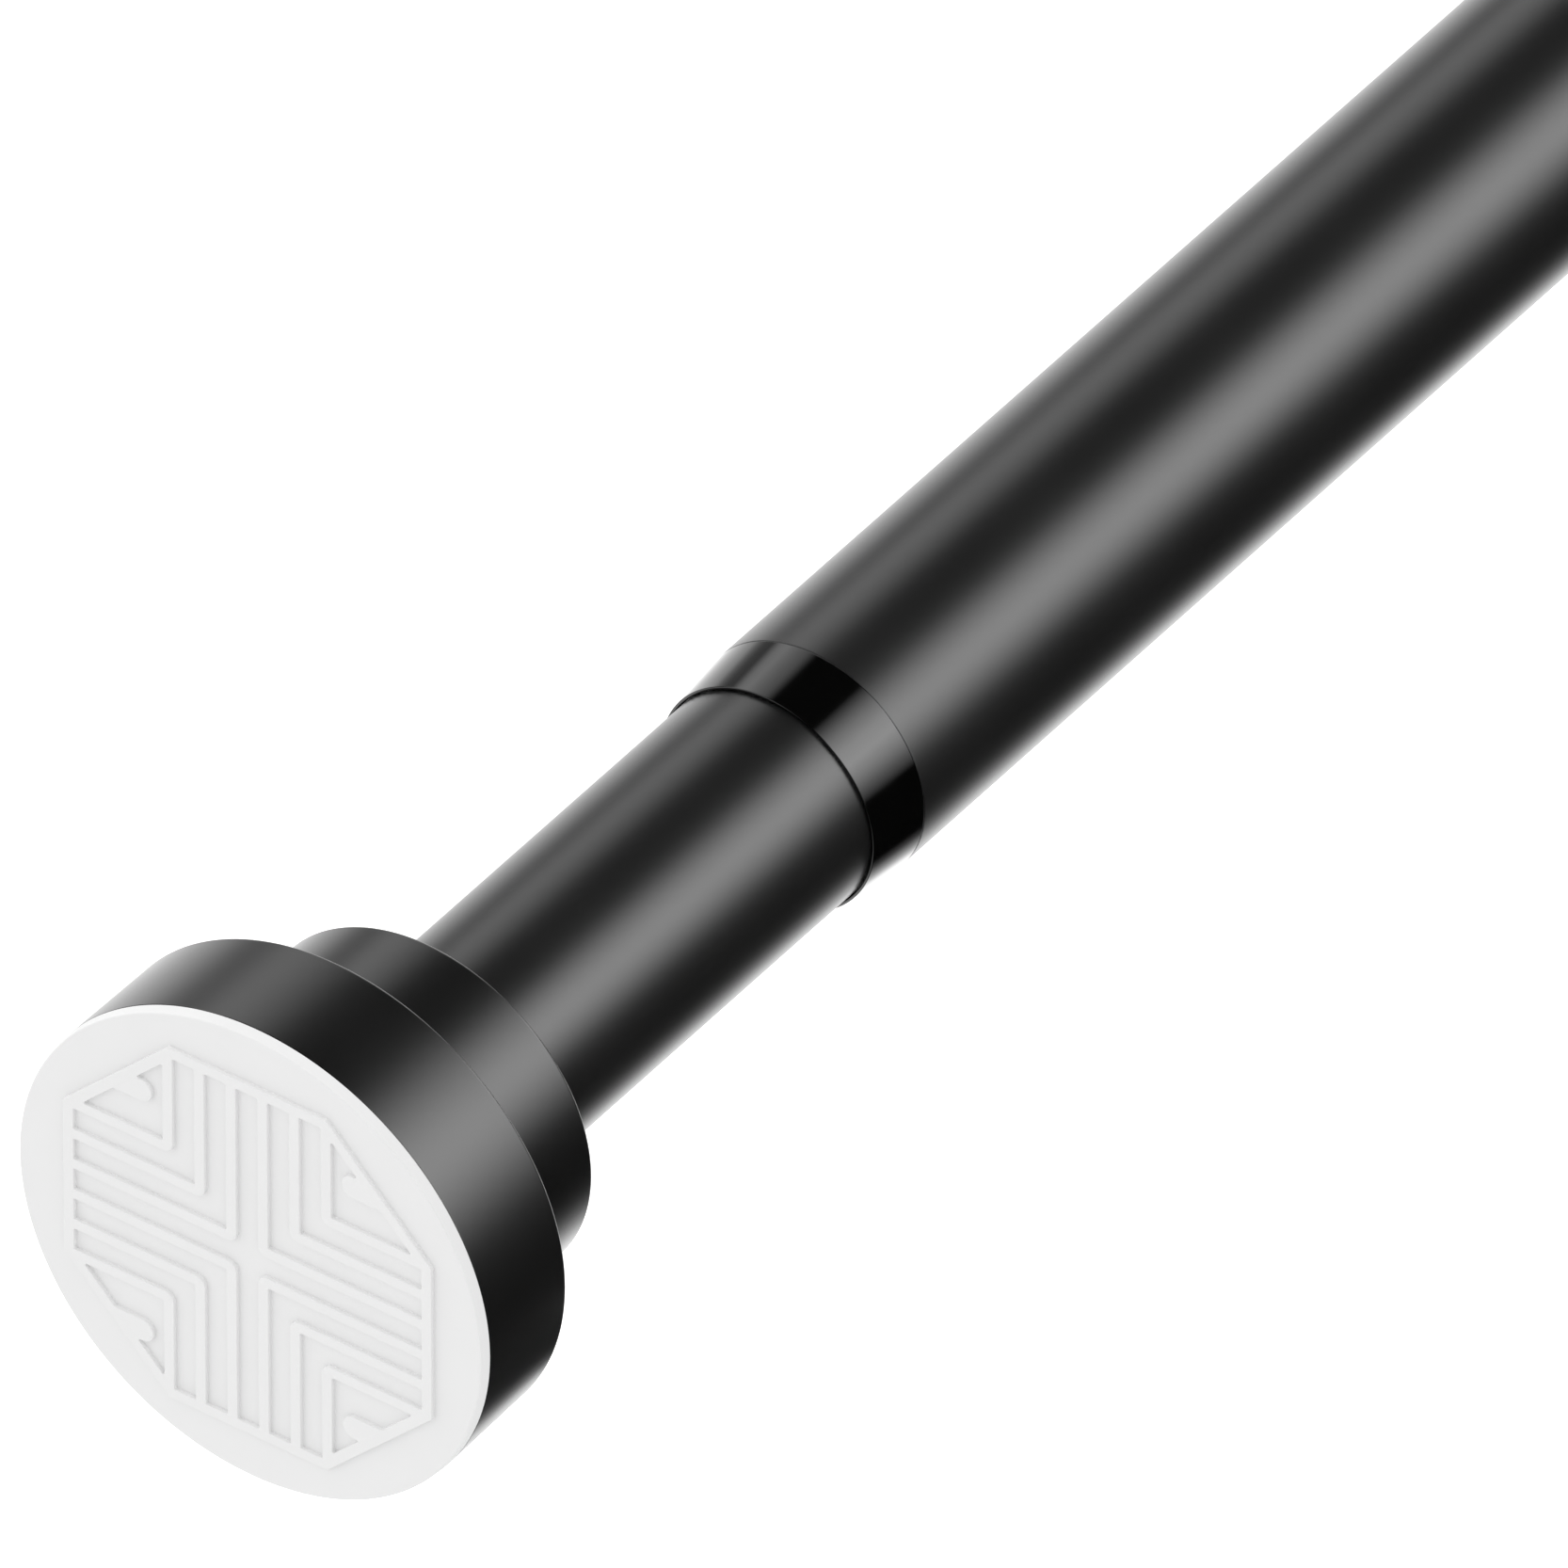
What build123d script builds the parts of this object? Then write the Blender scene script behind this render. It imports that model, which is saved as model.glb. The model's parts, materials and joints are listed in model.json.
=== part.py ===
from build123d import *
import os
from math import cos, pi, radians, sin, sqrt, tan

# A spring-tension shower curtain rod: a thin tube telescopes out of a thick one, a twist lock sets the length
# and a spring presses a treaded rubber pad on the wall at each end. Millimetres, +X along the rod, +Z up.
# The origin is the centre of the left pad, on the plane of its rib tops, where the wall is.

# Tubes
outer_tube_od = 25.0
outer_tube_wall = 0.5
outer_tube_length = 1010.0
inner_tube_wall = 0.6
bare_inner_length = 51.9      # inner tube in view between the left hub and the collar, at rest

# Clearances, each on the radius or between two faces
slide_clearance = 0.10        # inner tube in the collar
seat_clearance = 0.02         # pieces pressed or glued together
socket_clearance = 0.05       # tube in its end cap
bore_clearance = 0.25         # lock pieces in the outer tube, plunger in the inner tube
key_clearance = 0.15          # bolt flats in the bush
thread_clearance = 0.05       # wedge, sleeve and washer on the bolt
stop_clearance = 0.05         # faces of moving pieces that meet at a stop

# Guide collar in the mouth of the outer tube
collar_nose_length = 6.98
collar_skirt_length = 15.0
collar_skirt_wall = 0.43
collar_lip = 0.31             # lip thickness at the front of the nose

# End caps
hub_length = 13.93
hub_pocket = 1.9              # hollow between the tube socket and the wall of the hub
flange_step = 7.39            # flange rim above the hub's surface
flange_depth = 12.03
cap_wall = 2.0
socket_wall = 1.8
web_thickness = 2.5
cap_rib_count = 12
cap_rib_thickness = 1.6

# Wall pads
pad_edge_height = 1.27        # side wall of the pad in view
pad_edge_taper = 0.25
rib_height = 0.40
rib_width = 1.10
rib_pitch = 3.50
rib_count = 3                 # nested angle ribs in each quarter
rib_corner_radius = 1.0
tread_margin = 5.29           # smooth border outside the tread
tongue_width = 2.45

# Cap screws and tube plugs
screw_radius = 1.9
screw_length = 18.0
screw_head_step = 1.6         # flats of the head above the shank
screw_head_height = 2.8
screw_hole_clearance = 0.35
wrench_room = 3.5             # between the flats of the screw's head and of its recess
plug_length = 24.0
plug_boss_wall = 2.0
plug_fin_thickness = 2.4

# Spring, seat and plunger
spring_wire = 2.0
spring_turns = 7
spring_turn_runs = 8          # straight runs that make up one turn
spring_length = 64.0
seat_length = 12.0
spigot_length = 6.0
spigot_arm = 3.0
spigot_gap = 0.6              # spigot inside the spring
plunger_length = 12.0

# End bush
press_sides = 8               # flats of the bush and the seat, whose corners bite in the tube
bush_depth = 18.0
bush_flange = 4.0

# Twist lock
bolt_radius = 4.0
bolt_flats = 6.4
bolt_head_step = 2.5          # flats of the head above the shank
bolt_head_height = 5.3
bolt_end_radius = 3.0         # journal for the sleeve, and thread for the nut
bolt_end_spare = 2.0
spring_stroke = 20.0
stroke_margin = 1.0
wedge_length = 20.0
wedge_wall = 2.45             # thinnest wall, at the flats of the small end
wedge_rise = 4.0              # gain across flats from the small end to the large end
wedge_backoff = 2.4           # axial room between wedge and sleeve with the lock open
sleeve_length = 42.0
sleeve_overhang = 4.0         # large end of the wedge in front of the sleeve
sleeve_base = 8.0
slit_width = 2.2
washer_rim = 3.45
washer_thickness = 1.6
nut_wall = 2.0                # thinnest wall, at the flats
nut_height = 6.0
lock_free_run = 45.0          # empty run of outer tube between the lock and the right plug

# Radii, from the outer tube inwards
outer_radius = outer_tube_od / 2
outer_bore = outer_radius - outer_tube_wall
skirt_radius = outer_bore - seat_clearance
collar_bore = skirt_radius - collar_skirt_wall
inner_radius = collar_bore - slide_clearance
inner_bore = inner_radius - inner_tube_wall
hub_radius = outer_radius + socket_clearance + socket_wall + hub_pocket + cap_wall
rim_radius = hub_radius + flange_step
plunger_radius = inner_bore - bore_clearance
lock_radius = outer_bore - bore_clearance
journal_hole = bolt_end_radius + thread_clearance
wedge_hole = bolt_radius + thread_clearance

# Widths across flats
screw_head_flats = 2 * (screw_radius + screw_head_step)
bolt_head_flats = 2 * (bolt_radius + bolt_head_step)
wedge_small_flats = 2 * (wedge_hole + wedge_wall)
nut_flats = 2 * (bolt_end_radius + nut_wall)

# Places along the rod from a wall
rim_x = rib_height + pad_edge_height
web_x = rim_x + stop_clearance + screw_head_height
socket_x = web_x + web_thickness
flange_back_x = rim_x + flange_depth
hub_back_x = flange_back_x + hub_length

# Places along the rod from the left wall
collar_x = hub_back_x + bare_inner_length
mouth_x = collar_x + collar_nose_length
rod_length = mouth_x + outer_tube_length + socket_x
bolt_end_x = rod_length - socket_x - plug_length - lock_free_run
nut_x = bolt_end_x - bolt_end_spare - nut_height
washer_x = nut_x - washer_thickness
sleeve_end_x = washer_x - stop_clearance
base_x = sleeve_end_x - sleeve_base
sleeve_x = sleeve_end_x - sleeve_length
wedge_x = sleeve_x - sleeve_overhang
inner_end_x = wedge_x - stroke_margin - spring_stroke - bush_flange
bush_x = inner_end_x - bush_depth
plunger_end_x = bush_x - stop_clearance
head_x = plunger_end_x - bolt_head_height
plunger_x = plunger_end_x - plunger_length
seat_face_x = plunger_x - spring_length
seat_x = seat_face_x - seat_length


def turned(*outline):
    """A solid of revolution about the rod's axis. Each point is (place along the rod, radius)."""
    return revolve(make_face(Polyline(*outline, close=True)), Axis.X)


def round_bar(start, end, radius):
    """A plain cylinder along the rod."""
    return extrude(Plane.YZ.offset(start) * Circle(radius), end - start)


def tube(start, end, bore, radius):
    """A plain tube along the rod."""
    return round_bar(start, end, radius) - round_bar(start, end, bore)


def hex_bar(start, end, flats):
    """A hexagonal bar along the rod, with its width across flats."""
    return extrude(Plane.YZ.offset(start) * RegularPolygon(flats / 2, 6, major_radius=False), end - start)


def press_bar(start, end):
    """A many-sided bar along the rod whose corners are pressed into the inner tube."""
    section = RegularPolygon(inner_bore - seat_clearance, press_sides)
    return extrude(Plane.YZ.offset(start) * section, end - start)


def flatted_bar(start, end, radius, flats):
    """A round bar along the rod with two flats."""
    return extrude(Plane.YZ.offset(start) * (Circle(radius) & Rectangle(3 * radius, flats)), end - start)


def at_right_wall(piece):
    """Turns a piece made for the left wall round to face the right wall."""
    return Pos(rod_length, 0, 0) * Rot(0, 0, 180) * piece


def octagon(half_width, half_side):
    """An octagon from half its width and half its upright side."""
    corners = [(half_side, half_width), (half_width, half_side)]
    corners += [(y, -z) for y, z in reversed(corners)]
    corners += [(-y, -z) for y, z in corners]
    return make_face(Polyline(*corners, close=True))


def tread():
    """The raised tread: an octagon border, nested angle ribs in each quarter and four short tongues."""
    half_width = rim_radius - tread_margin
    half_side = rib_pitch * (rib_count - 0.5)
    border = octagon(half_width, half_side)
    hollow = octagon(half_width - rib_width, half_side - rib_width * (sqrt(2) - 1))
    ribs = Sketch()
    for i in range(rib_count):
        near = rib_pitch * (i + 0.5) - rib_width / 2
        far = near + rib_width
        angle = make_face(
            Polyline(
                (near, near), (half_width, near), (half_width, far), (far, far), (far, half_width),
                (near, half_width), close=True,
            )
        )
        angle = fillet(angle.vertices().sort_by_distance((0, 0, 0))[0], rib_corner_radius)
        ribs += [Rot(0, 0, 90 * quarter) * angle for quarter in range(4)]
    tongue_radius = tongue_width / 2
    tongue_start = rib_pitch * rib_count + tongue_radius
    for side in (-1, 1):
        for level in (-1, 1):
            start = Pos(side * tongue_start, level * rib_pitch * (rib_count + 1), 0)
            run = half_width - tongue_start
            ribs += start * Circle(tongue_radius)
            ribs += start * Pos(side * run / 2, 0, 0) * Rectangle(run, tongue_width)
    return (border - hollow) + (ribs & border)


def wall_pad():
    """The rubber pad: a disc with a tapered edge over the front of the cap, and the tread on its face."""
    disc = turned(
        (rib_height, 0), (rib_height, rim_radius - pad_edge_taper), (rim_x, rim_radius), (rim_x, 0)
    )
    return disc + extrude(Plane.YZ * tread(), rib_height + pad_edge_height / 2)


def cap_pocket(inner, outer, floor_x):
    """One flat-walled pocket of a cap between two ribs, from its inner flat to its outer corners."""
    half_angle = radians(180 / cap_rib_count)
    near, far = inner, outer * cos(half_angle)
    half_rib = cap_rib_thickness / 2 / cos(half_angle)
    near_half, far_half = (y * tan(half_angle) - half_rib for y in (near, far))
    outline = Polyline((near, -near_half), (far, -far_half), (far, far_half), (near, near_half), close=True)
    return extrude(Plane.YZ.offset(rim_x) * make_face(outline), floor_x - rim_x)


def end_cap(tube_radius):
    """The moulded cap: flange and hub in one, a tube socket, and a ring of pockets that the pad covers."""
    socket_radius = tube_radius + socket_clearance
    body = round_bar(rim_x, flange_back_x, rim_radius) + round_bar(flange_back_x, hub_back_x, hub_radius)
    body -= round_bar(socket_x, hub_back_x, socket_radius)
    body -= hex_bar(rim_x, web_x, screw_head_flats + 2 * wrench_room)
    body -= round_bar(web_x, socket_x, screw_radius + screw_hole_clearance)
    pocket_start = socket_radius + socket_wall
    pocket = cap_pocket(pocket_start, rim_radius - cap_wall, flange_back_x - cap_wall)
    pocket += cap_pocket(pocket_start, hub_radius - cap_wall, hub_back_x - cap_wall)
    return body - [Rot(360 / cap_rib_count * i, 0, 0) * pocket for i in range(cap_rib_count)]


def cap_screw():
    """A hexagon-headed screw through the cap's web into the tube plug."""
    head = hex_bar(web_x - screw_head_height, web_x, screw_head_flats)
    return head + round_bar(web_x, web_x + screw_length, screw_radius)


def tube_plug(tube_bore):
    """The plug pressed into the end of a tube: a boss for the screw on four fins."""
    radius = tube_bore - seat_clearance
    fins = Rectangle(2 * radius, plug_fin_thickness) + Rectangle(plug_fin_thickness, 2 * radius)
    section = (Circle(radius) & fins) + Circle(screw_radius + plug_boss_wall)
    section -= Circle(screw_radius + seat_clearance)
    return extrude(Plane.YZ.offset(socket_x) * section, plug_length)


def inner_tube():
    """The thin tube, from the floor of the left cap's socket to the end bush."""
    return tube(socket_x, inner_end_x, inner_bore, inner_radius)


def outer_tube():
    """The thick tube, from the collar to the floor of the right cap's socket."""
    return tube(mouth_x, mouth_x + outer_tube_length, outer_bore, outer_radius)


def guide_collar():
    """The collar: a tapered nose flush with the thick tube and a skirt pressed into the tube's mouth."""
    skirt_end_x = mouth_x + collar_skirt_length
    return turned(
        (collar_x, collar_bore),
        (collar_x, collar_bore + collar_lip),
        (mouth_x, outer_radius),
        (mouth_x, skirt_radius),
        (skirt_end_x, skirt_radius),
        (skirt_end_x, collar_bore),
    )


def spigot(start, end):
    """A cross-shaped spigot that centres one end of the spring."""
    reach = 2 * (plunger_radius - spring_wire - spigot_gap)
    section = Rectangle(reach, spigot_arm) + Rectangle(spigot_arm, reach)
    return extrude(Plane.YZ.offset(start) * section, end - start)


def spring_seat():
    """The fixed seat pressed into the thin tube, with a spigot in the spring."""
    return press_bar(seat_x, seat_face_x) + spigot(seat_face_x, seat_face_x + spigot_length)


def thrust_spring():
    """The compression spring between its seat and the plunger, wound in straight runs."""
    coil_radius = plunger_radius - spring_wire / 2
    runs = spring_turns * spring_turn_runs
    rise = (spring_length - spring_wire) / runs
    start_x = seat_face_x + spring_wire / 2
    turns = [2 * pi * i / spring_turn_runs for i in range(runs + 1)]
    route = [
        (start_x + rise * i, coil_radius * cos(turn), coil_radius * sin(turn)) for i, turn in enumerate(turns)
    ]
    path = Polyline(*route)
    wire = Plane(path @ 0, z_dir=path % 0) * RegularPolygon(spring_wire / 2, 6)
    return sweep(wire, path, transition=Transition.RIGHT)


def plunger():
    """The piston that the spring pushes, with a hexagonal pocket for the bolt's head."""
    body = round_bar(plunger_x, plunger_end_x, plunger_radius)
    pocket = hex_bar(head_x, plunger_end_x, bolt_head_flats + 2 * seat_clearance)
    return body + spigot(plunger_x - spigot_length, plunger_x) - pocket


def lock_bolt():
    """The bolt: head in the plunger, flatted shank through bush and wedge, journal for the sleeve."""
    head = hex_bar(head_x, plunger_end_x, bolt_head_flats)
    shoulder_x = base_x - stop_clearance
    shank = flatted_bar(plunger_end_x, shoulder_x, bolt_radius, bolt_flats)
    return head + shank + round_bar(shoulder_x, bolt_end_x, bolt_end_radius)


def end_bush():
    """The bush pressed into the thin tube's inner end: keyed to the bolt, its flange guided by the bore."""
    flange_x = inner_end_x + bush_flange
    body = press_bar(bush_x, inner_end_x) + round_bar(inner_end_x, flange_x, lock_radius)
    keyway_flats = bolt_flats + 2 * key_clearance
    return body - flatted_bar(bush_x, flange_x, bolt_radius + key_clearance, keyway_flats)


def hex_taper(start, length, end_flats):
    """A hexagonal bar that narrows along the rod at the wedge's slope, where three tapered slabs cross."""
    far = end_flats / 2
    near = far + wedge_rise / 2 * length / wedge_length
    end = start + length
    outline = Polyline((start, -near), (end, -far), (end, far), (start, near), close=True)
    slab = extrude(make_face(outline), end_flats + wedge_rise, both=True)
    return Rot(30, 0, 0) * slab & Rot(90, 0, 0) * slab & Rot(150, 0, 0) * slab


def lock_wedge():
    """The wedge nut on the bolt: its hexagon can't turn in the sleeve, so a twist of the bolt draws it in."""
    hole = round_bar(wedge_x, wedge_x + wedge_length, wedge_hole)
    return hex_taper(wedge_x, wedge_length, wedge_small_flats) - hole


def expanding_sleeve():
    """The split sleeve: six fingers that the wedge spreads, on a base that turns on the bolt's journal."""
    body = tube(sleeve_x, sleeve_end_x, journal_hole, lock_radius)
    taper_end_x = wedge_x + wedge_length + wedge_backoff
    body -= hex_taper(sleeve_x, taper_end_x - sleeve_x, wedge_small_flats)
    body -= hex_bar(sleeve_x, base_x, wedge_small_flats)
    slit_length = base_x - sleeve_x
    slit = Pos(sleeve_x + slit_length / 2, 0, 0) * Box(slit_length, 2 * outer_bore, slit_width)
    return body - [Rot(60 * i, 0, 0) * slit for i in range(3)]


def bolt_washer():
    """The washer behind the sleeve."""
    return tube(washer_x, nut_x, journal_hole, journal_hole + washer_rim)


def bolt_nut():
    """The nut that keeps washer and sleeve on the bolt."""
    hole = round_bar(nut_x, nut_x + nut_height, bolt_end_radius + seat_clearance)
    return hex_bar(nut_x, nut_x + nut_height, nut_flats) - hole


pieces = {
    "left_pad": wall_pad(),
    "left_end_cap": end_cap(inner_radius),
    "left_cap_screw": cap_screw(),
    "left_tube_plug": tube_plug(inner_bore),
    "inner_tube": inner_tube(),
    "spring_seat": spring_seat(),
    "thrust_spring": thrust_spring(),
    "plunger": plunger(),
    "lock_bolt": lock_bolt(),
    "end_bush": end_bush(),
    "lock_wedge": lock_wedge(),
    "expanding_sleeve": expanding_sleeve(),
    "bolt_washer": bolt_washer(),
    "bolt_nut": bolt_nut(),
    "guide_collar": guide_collar(),
    "outer_tube": outer_tube(),
    "right_tube_plug": at_right_wall(tube_plug(outer_bore)),
    "right_cap_screw": at_right_wall(cap_screw()),
    "right_end_cap": at_right_wall(end_cap(outer_radius)),
    "right_pad": at_right_wall(wall_pad()),
}

os.makedirs("parts", exist_ok=True)
for node, piece in pieces.items():
    export_step(piece, f"parts/{node}.step")
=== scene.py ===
import json
from math import cos, pi, radians, sin, sqrt, tan

import bpy
import numpy as np
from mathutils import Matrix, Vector
from mathutils.geometry import delaunay_2d_cdt


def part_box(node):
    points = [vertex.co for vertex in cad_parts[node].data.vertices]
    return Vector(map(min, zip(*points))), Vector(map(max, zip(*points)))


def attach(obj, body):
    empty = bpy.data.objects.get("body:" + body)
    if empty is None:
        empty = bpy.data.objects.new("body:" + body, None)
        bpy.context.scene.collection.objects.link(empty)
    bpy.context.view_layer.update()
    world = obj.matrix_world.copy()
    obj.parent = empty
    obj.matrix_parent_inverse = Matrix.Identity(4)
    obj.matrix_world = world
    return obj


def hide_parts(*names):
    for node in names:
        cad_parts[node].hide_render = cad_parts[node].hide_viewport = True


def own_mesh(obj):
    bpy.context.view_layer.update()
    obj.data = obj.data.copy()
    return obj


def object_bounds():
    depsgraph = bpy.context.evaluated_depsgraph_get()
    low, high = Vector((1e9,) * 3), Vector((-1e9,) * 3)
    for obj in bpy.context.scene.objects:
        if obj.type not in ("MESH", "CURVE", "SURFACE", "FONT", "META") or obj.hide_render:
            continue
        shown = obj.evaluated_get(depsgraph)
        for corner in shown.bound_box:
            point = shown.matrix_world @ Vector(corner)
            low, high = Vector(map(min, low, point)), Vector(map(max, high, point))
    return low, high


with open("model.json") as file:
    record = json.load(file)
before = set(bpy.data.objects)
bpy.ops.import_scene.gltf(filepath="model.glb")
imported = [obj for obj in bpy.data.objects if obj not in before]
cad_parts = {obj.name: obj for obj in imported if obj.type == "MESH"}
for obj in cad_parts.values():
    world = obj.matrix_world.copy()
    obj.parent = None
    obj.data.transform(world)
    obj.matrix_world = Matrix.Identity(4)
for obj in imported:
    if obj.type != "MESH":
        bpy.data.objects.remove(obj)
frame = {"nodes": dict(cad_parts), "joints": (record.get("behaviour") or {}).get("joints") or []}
cad_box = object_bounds()

# The thin tube is welded steel tube, cut square and deburred, with a satin black coat that is baked on.
# Its left end stands in an end cap, and its right end slides inside the thick tube.
MM = 0.001
thin_wall = 0.6 * MM
tube_edge = 0.12 * MM
tube_sides = 192
coat_ior = 1.56
sharp_angle = radians(40)
weld_distance = 0.001 * MM


class Shade:
    """A shader socket. Arithmetic on it adds Math nodes to its tree, and node() adds any other node."""

    def __init__(self, tree, socket=None):
        self.tree = tree
        self.socket = socket

    def node(self, kind, settings=None, inputs=None, output=0):
        """Adds a node: first its settings, a ramp's stops among them, then its sockets' values or links."""
        made = self.tree.nodes.new(kind)
        for name, value in (settings or {}).items():
            if name == "stops":
                for place, _ in value[2:]:
                    made.color_ramp.elements.new(place)
                for stop, (place, level) in zip(made.color_ramp.elements, value):
                    stop.position = place
                    stop.color = grey(level)
            else:
                setattr(made, name, value)
        for name, value in (inputs or {}).items():
            if isinstance(value, Shade):
                self.tree.links.new(value.socket, made.inputs[name])
            else:
                made.inputs[name].default_value = value
        return Shade(self.tree, made.outputs[output] if made.outputs else None)

    def math(self, operation, first, second=0.0):
        """A Math node on two numbers or sockets."""
        return self.node("ShaderNodeMath", {"operation": operation}, {0: first, 1: second})

    def __add__(self, other):
        return self.math("ADD", self, other)

    def __sub__(self, other):
        return self.math("SUBTRACT", self, other)

    def __rsub__(self, other):
        return self.math("SUBTRACT", other, self)

    def __mul__(self, other):
        return self.math("MULTIPLY", self, other)

    __radd__ = __add__
    __rmul__ = __mul__

    def swing(self, reach):
        """Noise, whose values lie about 0.5, as a swing to both sides of zero."""
        return (self - 0.5) * reach

    def between(self, low, high):
        """The colour this far from one colour to another. Mix takes them at 6 and 7 and gives it at 2."""
        return self.node("ShaderNodeMix", {"data_type": "RGBA"}, {0: self, 6: low, 7: high}, 2)

    def bump(self, strength, depth):
        """The normal of a surface that has this as its height."""
        return self.node("ShaderNodeBump", None, {"Strength": strength, "Distance": depth, "Height": self})


def grey(level):
    """A neutral colour."""
    return (level, level, level, 1)


def finish(name, sockets):
    """A material whose Principled shader takes what sockets(noise) gives. noise(size) is cloudy noise on
    Object coordinates, with that grain size in metres and values about 0.5."""
    material = bpy.data.materials.new(name)
    material.use_nodes = True
    material.node_tree.nodes.clear()
    shade = Shade(material.node_tree)
    place = shade.node("ShaderNodeTexCoord", output="Object")

    def noise(size, detail=2.0):
        return shade.node("ShaderNodeTexNoise", None, {"Vector": place, "Scale": 1 / size, "Detail": detail})

    skin = shade.node("ShaderNodeBsdfPrincipled", None, sockets(noise))
    shade.node("ShaderNodeOutputMaterial", None, {"Surface": skin})
    return material


def satin_black(noise):
    """Baked satin coat: near black, with a fine even grain and slow drifts in its gloss."""
    grain = noise(0.35 * MM)
    drift = noise(14 * MM)
    return {
        "Base Color": drift.between(grey(0.005), grey(0.007)),
        "Roughness": 0.32 + drift.swing(0.03) + grain.swing(0.04),
        "IOR": coat_ior,
        "Normal": grain.bump(0.12, 0.01 * MM),
    }


def eased(corners, radii, steps=5):
    """Each corner of a closed outline as an arc that touches both of its sides. Its centre lies on the
    corner's bisector, at radius / sin(half the angle), and it swings from one touching point to the
    other."""
    corners = np.asarray(corners, float)
    radii = np.broadcast_to(radii, len(corners))[:, None]
    back = np.roll(corners, 1, 0) - corners
    ahead = np.roll(corners, -1, 0) - corners
    back /= np.linalg.norm(back, axis=1, keepdims=True)
    ahead /= np.linalg.norm(ahead, axis=1, keepdims=True)
    half = np.arccos(np.sum(back * ahead, 1, keepdims=True)) / 2
    bisector = back + ahead
    bisector /= np.linalg.norm(bisector, axis=1, keepdims=True)
    centre = corners + bisector * radii / np.sin(half)
    first = corners + back * radii / np.tan(half) - centre
    last = corners + ahead * radii / np.tan(half) - centre
    swing = (pi - 2 * half)[:, None]
    share = np.linspace(0, 1, steps + 1)[None, :, None]
    arc = np.sin((1 - share) * swing) * first[:, None] + np.sin(share * swing) * last[:, None]
    return centre[:, None] + arc / np.sin(swing)


def full_circle(sides):
    """Angles evenly round the rod."""
    return np.linspace(0, 2 * pi, sides, endpoint=False)


def rings(x, radius, angle):
    """Rings round the rod: at place x, radius r and angle a, a point is (x, r cos a, r sin a)."""
    x = np.reshape(x, (-1, 1))
    return np.stack(np.broadcast_arrays(x, radius * np.cos(angle), radius * np.sin(angle)), axis=-1)


def turned(outline, angle):
    """An outline of (place along the rod, radius) carried round the rod, one ring for each of its points."""
    x, radius = np.asarray(outline).reshape(-1, 2).T
    return rings(x, radius[:, None], angle)


def grid_faces(index, loop):
    """The quads between the points of a grid. Its columns close on themselves, and its rows do in a loop."""
    below = np.roll(index, -1, 0)
    quads = np.stack([index, np.roll(index, -1, 1), np.roll(below, -1, 1), below], axis=-1)
    return quads[: len(index) if loop else -1].reshape(-1, 4)


def add_piece(name, points, faces, material, body, slot, node):
    """Puts a surface into the scene in place of a CAD node. Its poles are merged and its flats kept flat."""
    mesh = bpy.data.meshes.new(name)
    mesh.from_pydata(points.reshape(-1, 3), [], faces)
    mesh.shade_smooth()
    mesh.set_sharp_from_angle(angle=sharp_angle)
    mesh.materials.append(material)
    piece = bpy.data.objects.new(name, mesh)
    bpy.context.scene.collection.objects.link(piece)
    weld = piece.modifiers.new("poles", "WELD")
    weld.merge_threshold = weld_distance
    normals = piece.modifiers.new("flats", "WEIGHTED_NORMAL")
    normals.keep_sharp = True
    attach(piece, body)
    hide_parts(node)
    return piece


def add_grid(name, rows, loop, *where):
    """Adds a piece from rows of points that end in poles or, in a loop, close on themselves."""
    index = np.arange(rows[..., 0].size).reshape(rows.shape[:2])
    return add_piece(name, rows, grid_faces(index, loop), *where)


def plain_tube(node, wall):
    """A tube in a node's place: the closed outline of its wall, edges eased, turned about the rod."""
    low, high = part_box(node)
    bore = high.y - wall
    outline = [(low.x, high.y), (high.x, high.y), (high.x, bore), (low.x, bore)]
    return turned(eased(outline, tube_edge), full_circle(tube_sides))


tube_finish = finish("satin_black_steel", satin_black)
thin_tube = plain_tube("inner_tube", thin_wall)
add_grid("thin_tube", thin_tube, True, tube_finish, "left_unit", "tube_black", "inner_tube")

# The spring seat is moulded in natural nylon and pressed into the thin tube. Its eight corners bite into the
# bore, and a cross-shaped spigot keeps the spring in line.


def nylon(noise):
    """Natural nylon: milky, faintly clouded, with the dull skin of a mould."""
    cloud = noise(6 * MM)
    skin = noise(0.5 * MM)
    return {
        "Base Color": cloud.between((0.74, 0.72, 0.66, 1), (0.84, 0.83, 0.78, 1)),
        "Roughness": 0.42 + skin.swing(0.1),
        "Normal": skin.bump(0.2, 0.02 * MM),
    }


def dress(material, *nodes):
    """Gives CAD nodes a finish."""
    for node in nodes:
        for slot in frame["nodes"][node].material_slots:
            slot.material = material


nylon_finish = finish("natural_nylon", nylon)
dress(nylon_finish, "spring_seat")

# The thrust spring is wound from oil-tempered steel wire. One end stands on the seat, and the other pushes
# the plunger, so it shortens as the rod is pressed between two walls.
spring_turns = 7
spring_length = 64 * MM
spring_coil = 9.6 * MM
spring_wire = 2.0 * MM
spring_turn_steps = 72
spring_wire_sides = 20
stroke = next(joint for joint in frame["joints"] if joint["name"] == "spring_stroke")
spring_foot = stroke["deforming_nodes"][0]["fixed_end_x_m"]


def oiled_steel(noise):
    """Oil-tempered wire: dark steel, a little mottled by its heat treatment."""
    mottle = noise(1.5 * MM, detail=4.0)
    return {
        "Base Color": mottle.between(grey(0.16), grey(0.34)),
        "Metallic": 1.0,
        "Roughness": 0.3 + mottle * 0.2,
    }


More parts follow.
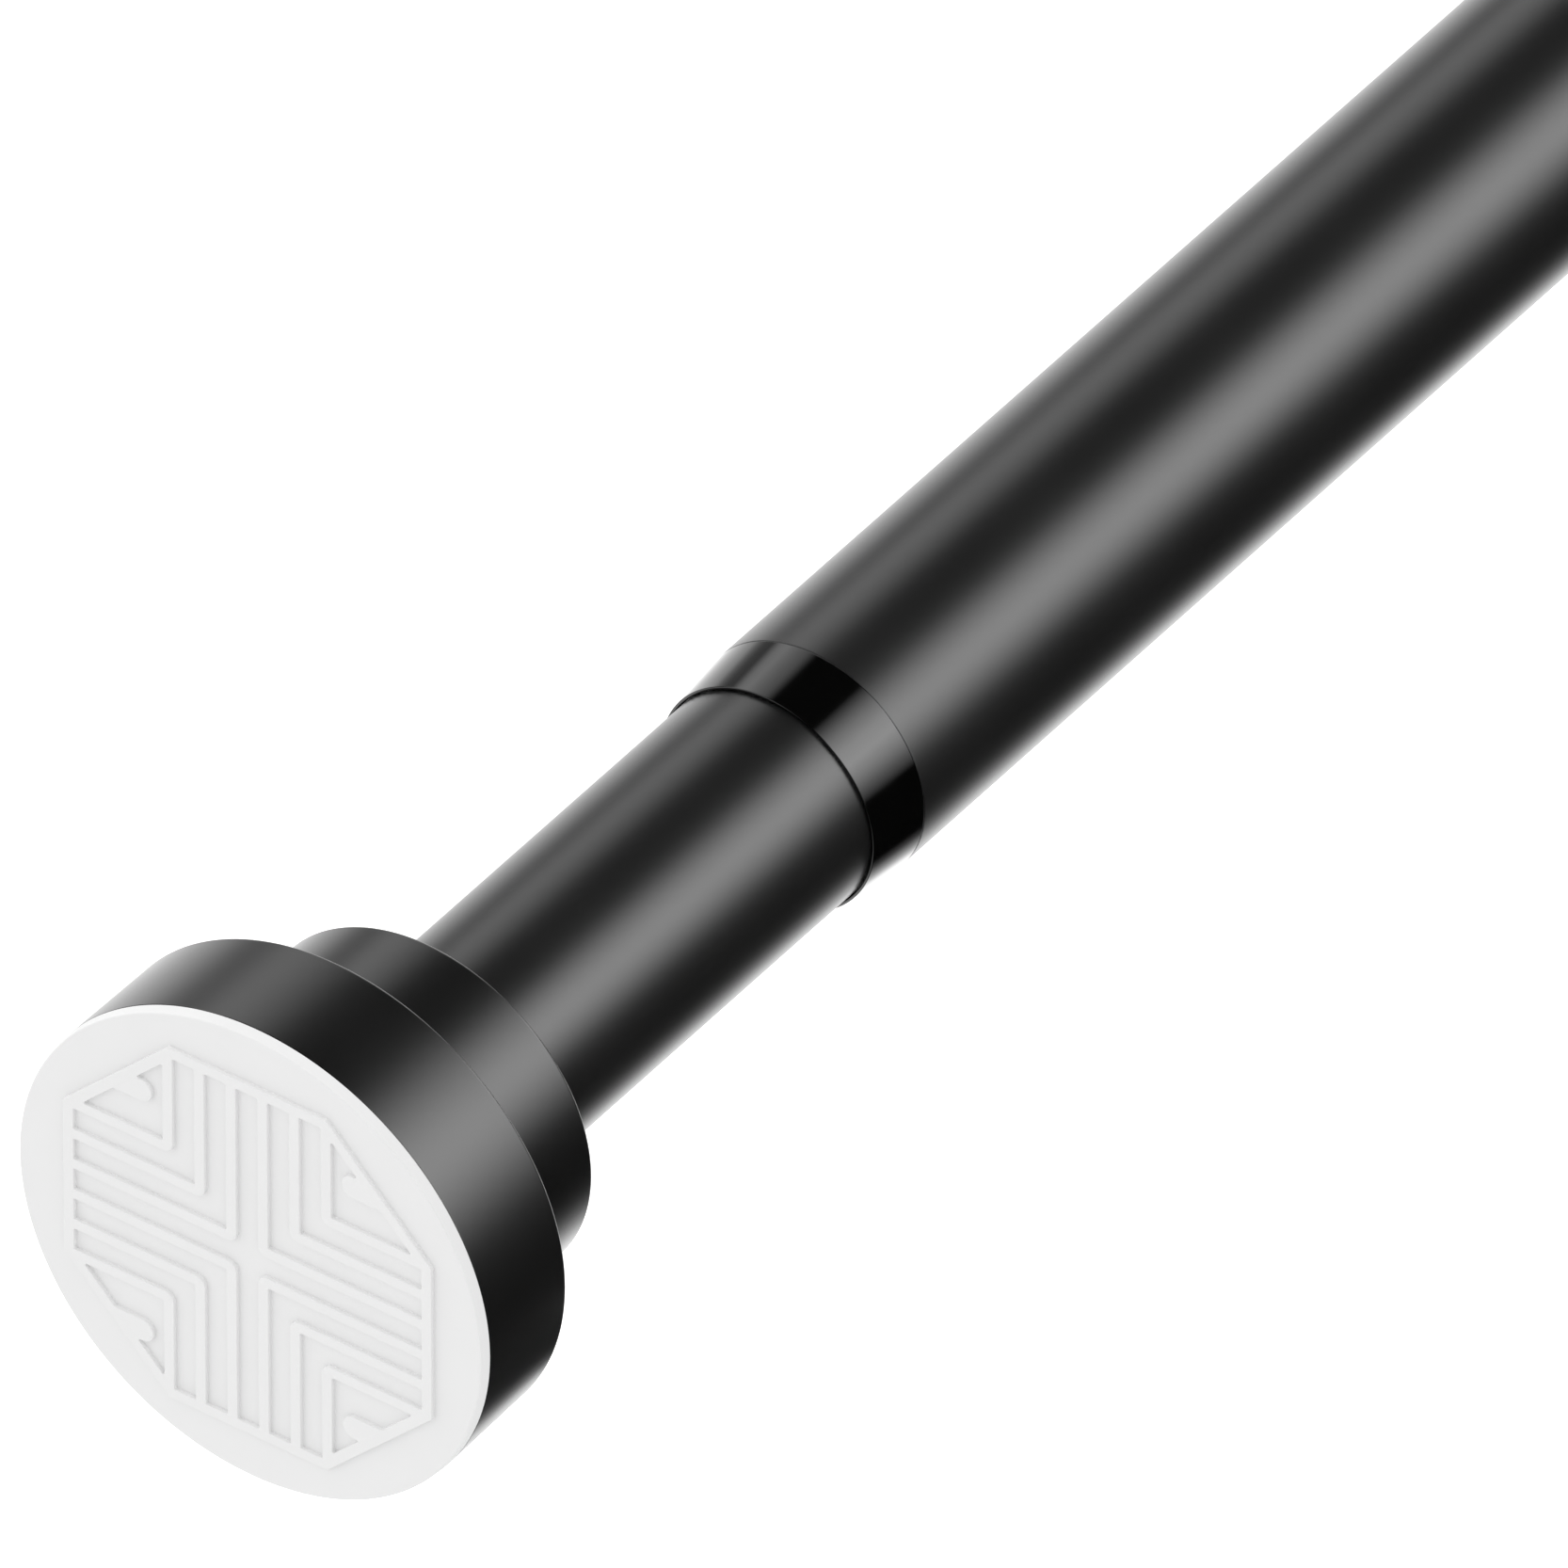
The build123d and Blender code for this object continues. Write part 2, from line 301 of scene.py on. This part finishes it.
def coil_spring():
    """A round wire carried along a helix. At s turns the wire's middle is at (foot + rise s, R cos 2 pi s,
    R sin 2 pi s). Its ring lies across the wire, and shrinks to a point at both ends to close it."""
    turn = np.linspace(0, spring_turns, spring_turns * spring_turn_steps + 1)
    thickness = np.pad(np.full_like(turn, spring_wire / 2), 1)[:, None, None]
    turn = np.pad(turn, 1, mode="edge")
    rise = (spring_length - spring_wire) / spring_turns
    zero = np.zeros_like(turn)
    out = np.stack([zero, np.cos(2 * pi * turn), np.sin(2 * pi * turn)], axis=1)
    onward = 2 * pi * spring_coil * np.stack([zero, -out[:, 2], out[:, 1]], axis=1)
    onward[:, 0] = rise
    side = np.cross(onward / np.linalg.norm(onward, axis=1, keepdims=True), out)
    middle = spring_coil * out
    middle[:, 0] = spring_foot + spring_wire / 2 + rise * turn
    ring = full_circle(spring_wire_sides)[:, None]
    return middle[:, None] + thickness * (np.cos(ring) * out[:, None] + np.sin(ring) * side[:, None])


spring_finish = finish("oiled_spring_steel", oiled_steel)
spring = add_grid(
    "coil_spring", coil_spring(), False, spring_finish, "left_unit", "spring_steel", "thrust_spring"
)
1 + stroke["range_m"][0] / spring_length
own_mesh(spring)

# The plunger is a nylon piston that slides in the thin tube between the spring and the end bush. The end
# bush is nylon too, pressed into the tube's end, and its flange guides the thin tube in the thick one.
dress(nylon_finish, "plunger", "end_bush")

# The lock bolt is cold-headed steel with a rolled thread and two flats along its shank, and its head sits
# in the plunger. The washer and the nut that keep the lock on its end are zinc plated like it.
bolt_head_height = 5.3 * MM
bolt_head_flats = 13.0 * MM
bolt_radius = 4.0 * MM
bolt_flats = 6.4 * MM
bolt_pitch = 1.25 * MM
bolt_thread_depth = 0.75 * MM
bolt_thread_turns = 32
bolt_end_radius = 3.0 * MM
bolt_end_length = 17.7 * MM
nut_pitch = 1.0 * MM
nut_thread_depth = 0.6 * MM
nut_thread_turns = 9
bolt_tip = 0.8
thread_crest = 1 / 8
thread_root = 1 / 4
thread_steps = 12
point_turns = 1.5
head_face = 0.95
head_chamfer = tan(radians(30))
head_steps = 6
fastener_sides = 48


def zinc_steel(noise):
    """Bright zinc plating: pale, with the fine spangle of the bath and dull patches from handling."""
    spangle = noise(0.8 * MM, detail=3.0)
    patch = noise(9 * MM)
    return {
        "Base Color": spangle.between((0.58, 0.59, 0.61, 1), (0.72, 0.73, 0.74, 1)),
        "Metallic": 1.0,
        "Roughness": 0.24 + patch * 0.18,
        "Normal": spangle.bump(0.2, 0.01 * MM),
    }


def hexagon(flats, angle):
    """The radius of a hexagon with a corner at angle 0: half its flats / cos(angle from a side's middle)."""
    return flats / 2 / np.cos(angle % (pi / 3) - pi / 6)


def hex_head(start, end, flats, angle):
    """Rings of a hexagon head from a pole at its middle. A cone turns off the corners of its outer face."""
    face = head_face * flats / 2
    corner = hexagon(flats, 0)
    x = np.append(np.linspace(start, start + (corner - face) * head_chamfer, head_steps), end)
    cone = face + (x - start) / head_chamfer
    head = rings(x, np.minimum(hexagon(flats, angle), cone[:, None]), angle)
    return np.concatenate([rings(start, 0, angle), head])


def threaded(end, turns, pitch, radius, depth, tip, angle):
    """Rings of a thread that ends at a place along the rod. At u turns and angle a the cut follows the wave
    |2 f - 1| of the fraction f of u - a / 2 pi, flat at crest and root. It fades in over its first turn, and
    the bar narrows to the share tip at its end."""
    turn = np.linspace(0, turns, turns * thread_steps + 1)[:, None]
    wave = np.abs(2 * ((turn - angle / (2 * pi)) % 1) - 1)
    cut = np.clip((wave - thread_crest) / (1 - thread_crest - thread_root), 0, 1) * np.minimum(turn, 1)
    narrowing = np.minimum(tip + (1 - tip) * (turns - turn) / point_turns, 1)
    return rings(end - (turns - turn) * pitch, (radius - depth * cut) * narrowing, angle)


def lock_bolt():
    """Rings along the bolt from its head's pole: the threaded shank, whose flats are cut at a height of half
    their width, then the thin end with the nut's thread."""
    low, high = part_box("lock_bolt")
    angle = full_circle(fastener_sides)
    neck = low.x + bolt_head_height
    shoulder = high.x - bolt_end_length
    thread = threaded(shoulder, bolt_thread_turns, bolt_pitch, bolt_radius, bolt_thread_depth, 1, angle)
    shank = np.concatenate([rings(neck, bolt_radius, angle), thread])
    shank[..., 2] = np.clip(shank[..., 2], -bolt_flats / 2, bolt_flats / 2)
    return np.concatenate([
        hex_head(low.x, neck, bolt_head_flats, angle),
        shank,
        rings(shoulder, bolt_end_radius, angle),
        threaded(high.x, nut_thread_turns, nut_pitch, bolt_end_radius, nut_thread_depth, bolt_tip, angle),
        rings(high.x, 0, angle),
    ])


zinc_finish = finish("zinc_plated_steel", zinc_steel)
add_grid("threaded_bolt", lock_bolt(), False, zinc_finish, "plunger_unit", "zinc_steel", "lock_bolt")
dress(zinc_finish, "bolt_washer", "bolt_nut")

# The wedge nut runs on the bolt's thread and is moulded in white acetal. Its hexagon can't turn in the
# sleeve, so a twist of the rod draws it in.


def acetal(noise):
    """White acetal: dense, smooth and a little waxy."""
    cloud = noise(4 * MM)
    return {"Base Color": cloud.between(grey(0.72), grey(0.78)), "Roughness": 0.3 + cloud * 0.1}


dress(finish("white_acetal", acetal), "lock_wedge")

# The expanding sleeve is a dark, tough plastic with six fingers. The wedge spreads them against the bore of
# the thick tube, and its base turns on the bolt's plain end.


def tough_plastic(noise):
    """Dark filled plastic with a matt, slightly gritty skin that grips."""
    grit = noise(0.3 * MM, detail=3.0)
    return {
        "Base Color": grit.between(grey(0.035), grey(0.07)),
        "Roughness": 0.55 + grit * 0.2,
        "Normal": grit.bump(0.4, 0.02 * MM),
    }


dress(finish("tough_dark_plastic", tough_plastic), "expanding_sleeve")

# The guide collar is moulded in glossy black plastic. Its skirt is pressed into the mouth of the thick tube,
# and its tapered nose leads down to the thin tube that slides in it.
thick_wall = 0.5 * MM
collar_fit = 0.02 * MM
collar_skirt = 15.0 * MM
collar_skirt_wall = 0.43 * MM
collar_lip = 0.31 * MM
collar_edge = 0.1 * MM


def gloss_black(noise):
    """Gloss black plastic straight from a polished mould, with only a breath of unevenness."""
    film = noise(5 * MM)
    return {
        "Base Color": film.between(grey(0.001), grey(0.002)),
        "Roughness": 0.07 + film * 0.05,
        "IOR": coat_ior,
    }


def guide_collar():
    """The collar's closed outline turned about the rod: out along the nose, in along skirt and bore."""
    low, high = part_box("guide_collar")
    nose_back = high.x - collar_skirt
    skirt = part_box("outer_tube")[1].y - thick_wall - collar_fit
    bore = skirt - collar_skirt_wall
    outline = [
        (low.x, bore + collar_lip), (nose_back, high.y), (nose_back, skirt), (high.x, skirt), (high.x, bore),
        (low.x, bore),
    ]
    return turned(eased(outline, collar_edge), full_circle(tube_sides))


gloss_finish = finish("gloss_black_plastic", gloss_black)
add_grid(
    "guide_collar_shell", guide_collar(), True, gloss_finish, "right_unit", "collar_black", "guide_collar"
)

# The thick tube is welded steel tube with the same baked coat as the thin one. It carries the collar in its
# mouth, and its right end stands in an end cap.
thick_tube = plain_tube("outer_tube", thick_wall)
add_grid("thick_tube", thick_tube, True, tube_finish, "right_unit", "tube_black", "outer_tube")

# The tube plugs are finned nylon bosses pressed into the tube ends. A zinc plated screw through each end cap
# cuts its own thread in the boss and holds the cap on.
screw_head_height = 2.8 * MM
screw_head_flats = 7.0 * MM
screw_radius = 1.9 * MM
screw_pitch = 1.4 * MM
screw_thread_depth = 0.5 * MM
screw_thread_turns = 12
screw_tip = 0.3


def cap_screw():
    """Rings along the left screw from its head's pole to its blunt point."""
    low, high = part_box("left_cap_screw")
    angle = full_circle(fastener_sides)
    neck = low.x + screw_head_height
    thread = (screw_thread_turns, screw_pitch, screw_radius, screw_thread_depth, screw_tip)
    return np.concatenate([
        hex_head(low.x, neck, screw_head_flats, angle),
        rings(neck, screw_radius, angle),
        threaded(high.x, *thread, angle),
        rings(high.x, 0, angle),
    ])


def at_right_wall(points):
    """Turns a left-wall surface half round about the upright line in the rod's middle."""
    return np.array([cad_box[0].x + cad_box[1].x, 0, 0]) + points * np.array([-1, -1, 1])


left_screw = cap_screw()
right_screw = at_right_wall(left_screw)
add_grid("left_hex_screw", left_screw, False, zinc_finish, "left_unit", "zinc_steel", "left_cap_screw")
add_grid("right_hex_screw", right_screw, False, zinc_finish, "right_unit", "zinc_steel", "right_cap_screw")
dress(nylon_finish, "left_tube_plug", "right_tube_plug")

# The end caps are moulded in black plastic with a satin skin: a wide flange for the wall, a narrower hub
# with the tube's socket, and a ring of pockets at the front, which keep the walls even and which the pad
# covers.
flange_depth = 12.03 * MM
flange_draft = 0.21 * MM
hub_radius = 18.25 * MM
cap_wall = 2.0 * MM
socket_wall = 1.8 * MM
socket_clearance = 0.05 * MM
socket_floor = 5.35 * MM
web_front = 2.85 * MM
screw_hole = 2.25 * MM
wrench_flats = 14.0 * MM
cap_pockets = 12
cap_rib = 1.6 * MM
pocket_draft = 0.1 * MM
pocket_columns = 20
pocket_rib_columns = 3
cap_edge = 0.5 * MM
cap_fine_edge = 0.12 * MM


def moulded_black(noise):
    """Black moulded plastic with a fine satin skin, a little smoother than the tubes."""
    grain = noise(0.3 * MM)
    drift = noise(10 * MM)
    return {
        "Base Color": drift.between(grey(0.003), grey(0.005)),
        "Roughness": 0.29 + drift.swing(0.03) + grain.swing(0.04),
        "IOR": coat_ior,
        "Normal": grain.bump(0.12, 0.01 * MM),
    }


def cap_pocket_rows(front, reach, floor, angle_step):
    """Rows of points across a cap's front, one for each reach from its middle. In each sector a row is a
    straight line at right angles to the sector's middle, and drops to its floor between the two ribs. Three
    points of it stay on the ribs."""
    half_sector = angle_step / 2
    reach, floor = np.reshape(reach, (-1, 1)), np.reshape(floor, (-1, 1))
    mouth = reach * tan(half_sector) - cap_rib / 2 / cos(half_sector)
    inside = np.linspace(-1, 1, pocket_columns - pocket_rib_columns) * (mouth - pocket_draft)
    across = np.concatenate([-reach * tan(half_sector), -mouth, inside, mouth], axis=1)
    depth = np.full_like(across, front)
    depth[:, 2:-1] = floor
    sector = angle_step * np.arange(cap_pockets)[:, None]
    reach, across, depth = reach[:, None], across[:, None], depth[:, None]
    y = reach * np.cos(sector) - across * np.sin(sector)
    z = reach * np.sin(sector) + across * np.cos(sector)
    return np.stack(np.broadcast_arrays(depth, y, z), axis=-1).reshape(len(reach), -1, 3)


def end_cap(tube_radius):
    """The left cap as one closed grid. Its outside, socket and screw hole are a turned outline, then come
    the hexagon recess for the screw's head and the rows that dip into the pockets of the front."""
    low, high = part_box("left_end_cap")
    front, back, rim = low.x, high.x, high.y
    flange_back = front + flange_depth
    socket = tube_radius + socket_clearance
    outline = [
        (front, rim), (flange_back, rim - flange_draft), (flange_back, hub_radius), (back, hub_radius),
        (back, socket), (front + socket_floor, socket), (front + socket_floor, screw_hole),
        (front + web_front, screw_hole), (front + web_front, wrench_flats / 2), (front, wrench_flats / 2),
    ]
    edges = np.full(len(outline), cap_fine_edge)
    edges[[1, 3]] = cap_edge
    sector = 2 * pi / cap_pockets
    angle = full_circle(cap_pockets * pocket_columns) - sector / 2
    step, far = (np.array([hub_radius, rim]) - cap_wall) * cos(sector / 2)
    near = socket + socket_wall
    hub_floor, flange_floor = back - cap_wall, flange_back - cap_wall
    reach = [near, near + pocket_draft, step - pocket_draft, step, far - pocket_draft, far]
    floor = [front, hub_floor, hub_floor, flange_floor, flange_floor, front]
    return np.concatenate([
        turned(eased(outline, edges)[:-2], angle),
        rings([front + web_front, front], hexagon(wrench_flats, angle), angle),
        cap_pocket_rows(front, reach, floor, sector),
    ])


cap_finish = finish("satin_black_plastic", moulded_black)
left_cap = end_cap(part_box("inner_tube")[1].y)
right_cap = at_right_wall(end_cap(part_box("outer_tube")[1].y))
add_grid("left_cap_moulding", left_cap, True, cap_finish, "left_unit", "cap_black", "left_end_cap")
add_grid("right_cap_moulding", right_cap, True, cap_finish, "right_unit", "cap_black", "right_end_cap")

# The wall pads are moulded in white rubber and glued to the caps' fronts. Each has a raised tread, an
# octagon border with nested angle ribs and short tongues, that grips the wall and lets it breathe.
rib_height = 0.40 * MM
rib_width = 1.10 * MM
rib_pitch = 3.50 * MM
rib_count = 3
rib_corner = 1.0 * MM
rib_fine_corner = 0.15 * MM
rib_draft = 0.02 * MM
rib_round = 0.06 * MM
rib_round_steps = 4
tread_margin = 5.29 * MM
tongue_width = 2.45 * MM
tongue_fillet = 0.4 * MM
tongue_round = 0.98
pad_taper = 0.10 * MM
pad_front_edge = 0.15 * MM
pad_back_edge = 0.06 * MM
fill_all = 0
fill_tolerance = 1e-6


def white_rubber(noise):
    """White silicone rubber: matt, faintly clouded, with a powder-fine skin."""
    cloud = noise(5 * MM)
    skin = noise(0.25 * MM)
    return {
        "Base Color": cloud.between(grey(0.73), grey(0.75)),
        "Roughness": 0.7 + skin.swing(0.1),
        "Specular IOR Level": 0.2,
        "Normal": skin.bump(0.1, 0.01 * MM),
    }


def four_turns(corners):
    """A quarter of an outline about the pad's middle, and its three turned copies, as one outline."""
    quarter = np.array([[0, 1], [-1, 0]])
    return np.concatenate([corners @ np.linalg.matrix_power(quarter, turns) for turns in range(4)])


def tread_loops(half_width, shrink):
    """The tread's (y, z) outlines with every edge drawn in by shrink. First comes the octagon, then its
    openings: the cross between the innermost ribs, the angled channels, and the corner pockets with their
    tongues."""
    slant = half_width + rib_pitch * (rib_count - 0.5)
    side = half_width - shrink
    corner = slant - shrink * sqrt(2) - side
    inner = half_width - rib_width + shrink
    inner_slant = slant - (rib_width - shrink) * sqrt(2)
    middles = rib_pitch * (np.arange(rib_count) + 0.5)
    near = middles - rib_width / 2 + shrink
    far = middles + rib_width / 2 - shrink
    hollow = rib_fine_corner + shrink
    bend = rib_corner - shrink
    octagon = four_turns(np.array([(side, corner), (corner, side)]))
    cross = four_turns(np.array([(inner, -near[0]), (inner, near[0]), (near[0], near[0])]))
    loops = [eased(octagon, rib_fine_corner - shrink), eased(cross, [hollow, hollow, bend] * 4)]
    quadrants = [np.array([across, up]) for across in (1, -1) for up in (1, -1)]
    for a, b in zip(far[:-1], near[1:]):
        channel = np.array([(inner, a), (inner, b), (b, b), (b, inner), (a, inner), (a, a)])
        bends = [hollow, hollow, bend, hollow, hollow, hollow]
        loops += [eased(channel * quadrant, bends) for quadrant in quadrants]
    edge = far[-1]
    tip = rib_pitch * rib_count + shrink
    tongue = tongue_width / 2 - shrink
    low, high = rib_pitch * (rib_count + 1) + tongue * np.array([-1, 1])
    pocket = np.array([
        (edge, edge), (inner_slant - edge, edge), (inner_slant - low, low), (tip, low), (tip, high),
        (inner_slant - high, high), (edge, inner_slant - edge),
    ])
    bends = [hollow, hollow, tongue_fillet, tongue * tongue_round, tongue * tongue_round, hollow, hollow]
    loops += [eased(pocket * quadrant, bends) for quadrant in quadrants]
    return [loop.reshape(-1, 2) for loop in loops]


def wall_pad():
    """The left pad. A rib wall's section, a little draft and a quarter round at the top, is carried along
    all the tread's outlines, and the flats between them are filled with triangles. Rings go on over the
    round edge and the side to the middle of the back."""
    low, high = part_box("left_pad")
    face, back, rim = low.x + rib_height, high.x, high.y
    outline = [(face, rim - pad_taper), (back, rim), (back, 0), (face, 0)]
    arcs = eased(outline, [pad_front_edge, pad_back_edge, pad_back_edge, pad_back_edge])[:2].reshape(-1, 2)
    border = turned(np.concatenate([arcs, [(back, rim / 2), (back, 0)]]), full_circle(tube_sides))
    turn = np.linspace(0, pi / 2, rib_round_steps)
    shrinks = np.append(-rib_draft, rib_round * (1 - np.cos(turn)))
    levels = face - np.append(0, rib_height - rib_round * (1 - np.sin(turn)))
    loops = [border[0]]
    for shrink, level in zip(shrinks, levels):
        loops += [np.insert(loop, 0, level, axis=1) for loop in tread_loops(rim - tread_margin, shrink)]
    points = np.concatenate(loops)
    index = np.arange(len(points))
    starts = np.cumsum([len(loop) for loop in loops])[:-1]
    ahead = np.concatenate([np.roll(loop, -1) for loop in np.split(index, starts)])
    edges = np.stack([index, ahead], axis=1)
    _, _, triangles, origins, *_ = delaunay_2d_cdt(
        (points[:, 1:] / MM).tolist(), edges.tolist(), [], fill_all, fill_tolerance
    )
    source = np.array([origin[0] for origin in origins])
    front = source[np.array(triangles)[:, ::-1]]
    border_index = len(points) - tube_sides + np.arange(border[..., 0].size).reshape(border.shape[:2])
    border_index[0] = index[:tube_sides]
    faces = front.tolist() + grid_faces(border_index, loop=False).tolist()
    return np.concatenate([points, border[1:].reshape(-1, 3)]), faces


rubber_finish = finish("white_rubber", white_rubber)
left_pad, pad_faces = wall_pad()
right_pad = at_right_wall(left_pad)
add_piece("left_tread_pad", left_pad, pad_faces, rubber_finish, "left_unit", "pad_rubber", "left_pad")
add_piece("right_tread_pad", right_pad, pad_faces, rubber_finish, "right_unit", "pad_rubber", "right_pad")

# The studio: a pale floor far below the rod, a white tent that dims to its ends, the far one most, and soft
# strip lights along the rod that show only in its gloss, listed by the angle round it from the front up and
# over. A dark card under the left end, out of the camera's sight and seen only in reflections, is painted
# shade: it darkens the low reflection on the flange's lower edge.
floor_drop = 0.8
floor_reach = 60.0
card_place = 40.0 * MM
card_front, card_back = -80.0 * MM, -17.0 * MM
card_bottom, card_top = -95.0 * MM, -30.0 * MM
tent_level = 1.4
tent_rise_back = 0.15
tent_fall_far = 0.15
tent_dim_ends = 0.6
strip_peak = 5.2
strip_levels = [
    (-180, 1.3), (-168, 1.55), (-97, 2.4), (-86, 1.4), (-72, 0.25), (-64, 0.0), (-4, 0.0), (8, 1.5),
    (20, 3.6), (31, 5.2), (43, 4.6), (55, 2.9), (66, 1.0), (73, 0.0), (116, 0.0), (124, 1.0), (143, 1.9),
    (150, 1.5), (158, 0.3), (166, 0.35), (173, 0.7), (180, 1.4),
]


def pale_floor(noise):
    """Pale studio floor with the faintest cloudiness."""
    cloud = noise(0.4)
    return {
        "Base Color": cloud.between(grey(0.93), grey(0.97)),
        "Roughness": 0.9,
        "Emission Color": grey(1.0),
        "Emission Strength": 0.4,
    }


def painted_shade_card(noise):
    """Black card with a faint tooth. Seen only in reflections, it is painted shade on the flange's lower
    edge.
    """
    tooth = noise(2 * MM)
    return {"Base Color": tooth.between(grey(0.008), grey(0.012)), "Roughness": 0.9}


def add_stage(name, corners, material):
    """Puts a flat thing of the studio into the scene, from its four corners. Matt surfaces don't see it."""
    mesh = bpy.data.meshes.new(name)
    mesh.from_pydata(corners, [], [(0, 1, 2, 3)])
    mesh.materials.append(material)
    thing = bpy.data.objects.new(name, mesh)
    thing.visible_diffuse = False
    bpy.context.scene.collection.objects.link(thing)
    return thing


floor_corners = np.array([[-1, -1, 0], [1, -1, 0], [1, 1, 0], [-1, 1, 0]]) * floor_reach
floor_corners[:, 2] = -floor_drop
floor = add_stage("studio_floor", floor_corners, finish("pale_floor", pale_floor))
floor.visible_glossy = False
card_corners = [
    (card_place, card_front, card_bottom), (card_place, card_back, card_bottom),
    (card_place, card_back, card_top), (card_place, card_front, card_top),
]
# The card is painted shade. It is hidden from the camera, from matt light and from shadows, and shows only
# as a dark reflection low on the flange.
card = add_stage("flange_shade_card", card_corners, finish("painted_shade_card", painted_shade_card))
card.visible_camera = False
card.visible_shadow = False

world = bpy.data.worlds.new("studio")
bpy.context.scene.world = world
world.use_nodes = True
world.node_tree.nodes.clear()
sky = Shade(world.node_tree)
way = sky.node("ShaderNodeTexCoord", output="Generated")
along = sky.node("ShaderNodeSeparateXYZ", None, {0: way}, "X")
across = sky.node("ShaderNodeSeparateXYZ", None, {0: way}, "Y")
upward = sky.node("ShaderNodeSeparateXYZ", None, {0: way}, "Z")
bearing = sky.math("ARCTAN2", upward, 0 - across) * (0.5 / pi) + 0.5
stops = [(angle / 360 + 0.5, level / strip_peak) for angle, level in strip_levels]
strips = sky.node("ShaderNodeValToRGB", {"stops": stops}, {"Fac": bearing})
glint = sky.node("ShaderNodeBackground", None, {"Color": strips, "Strength": strip_peak})
tent_slope = across * tent_rise_back - along * tent_fall_far
tent_light = (1.0 + tent_slope - along * along * tent_dim_ends) * tent_level
tent = sky.node("ShaderNodeBackground", None, {"Color": grey(1.0), "Strength": tent_light})
plain = sky.node("ShaderNodeBackground", None, {"Color": grey(1.0), "Strength": 1.0})
scattered = sky.node("ShaderNodeLightPath", output="Is Diffuse Ray")
seen = sky.node("ShaderNodeLightPath", output="Is Camera Ray")
lit = sky.node("ShaderNodeMixShader", None, {0: scattered, 1: glint, 2: tent})
surround = sky.node("ShaderNodeMixShader", None, {0: seen, 1: lit, 2: plain})
sky.node("ShaderNodeOutputWorld", None, {"Surface": surround})
world.cycles.sampling_method = "NONE"
bpy.context.scene.view_settings.view_transform = "Standard"

# The camera looks at the left end from the front and above, from far away with a long lens, so that the rod
# shows next to no perspective.
view_azimuth = radians(-54.26)
view_elevation = radians(39.54)
view_width = 141.38 * MM
view_lens = 1600.0
sensor = 36.0
pad_left_of_centre = 48.0 * MM
pad_below_centre = 42.5 * MM
view_depth = 53.0 * MM
view_reach = 100.0

back = Vector((
    sin(view_azimuth) * cos(view_elevation), -cos(view_azimuth) * cos(view_elevation), sin(view_elevation)
))
right = Vector((cos(view_azimuth), sin(view_azimuth), 0))
target = right * pad_left_of_centre + back.cross(right) * pad_below_centre - back * view_depth
lens = bpy.data.cameras.new("view")
lens.lens = view_lens
lens.sensor_width = sensor
lens.clip_end = view_reach
camera = bpy.data.objects.new("view", lens)
camera.location = target + back * (view_width * view_lens / sensor)
camera.rotation_euler = (-back).to_track_quat("-Z", "Y").to_euler()
bpy.context.scene.collection.objects.link(camera)
bpy.context.scene.camera = camera
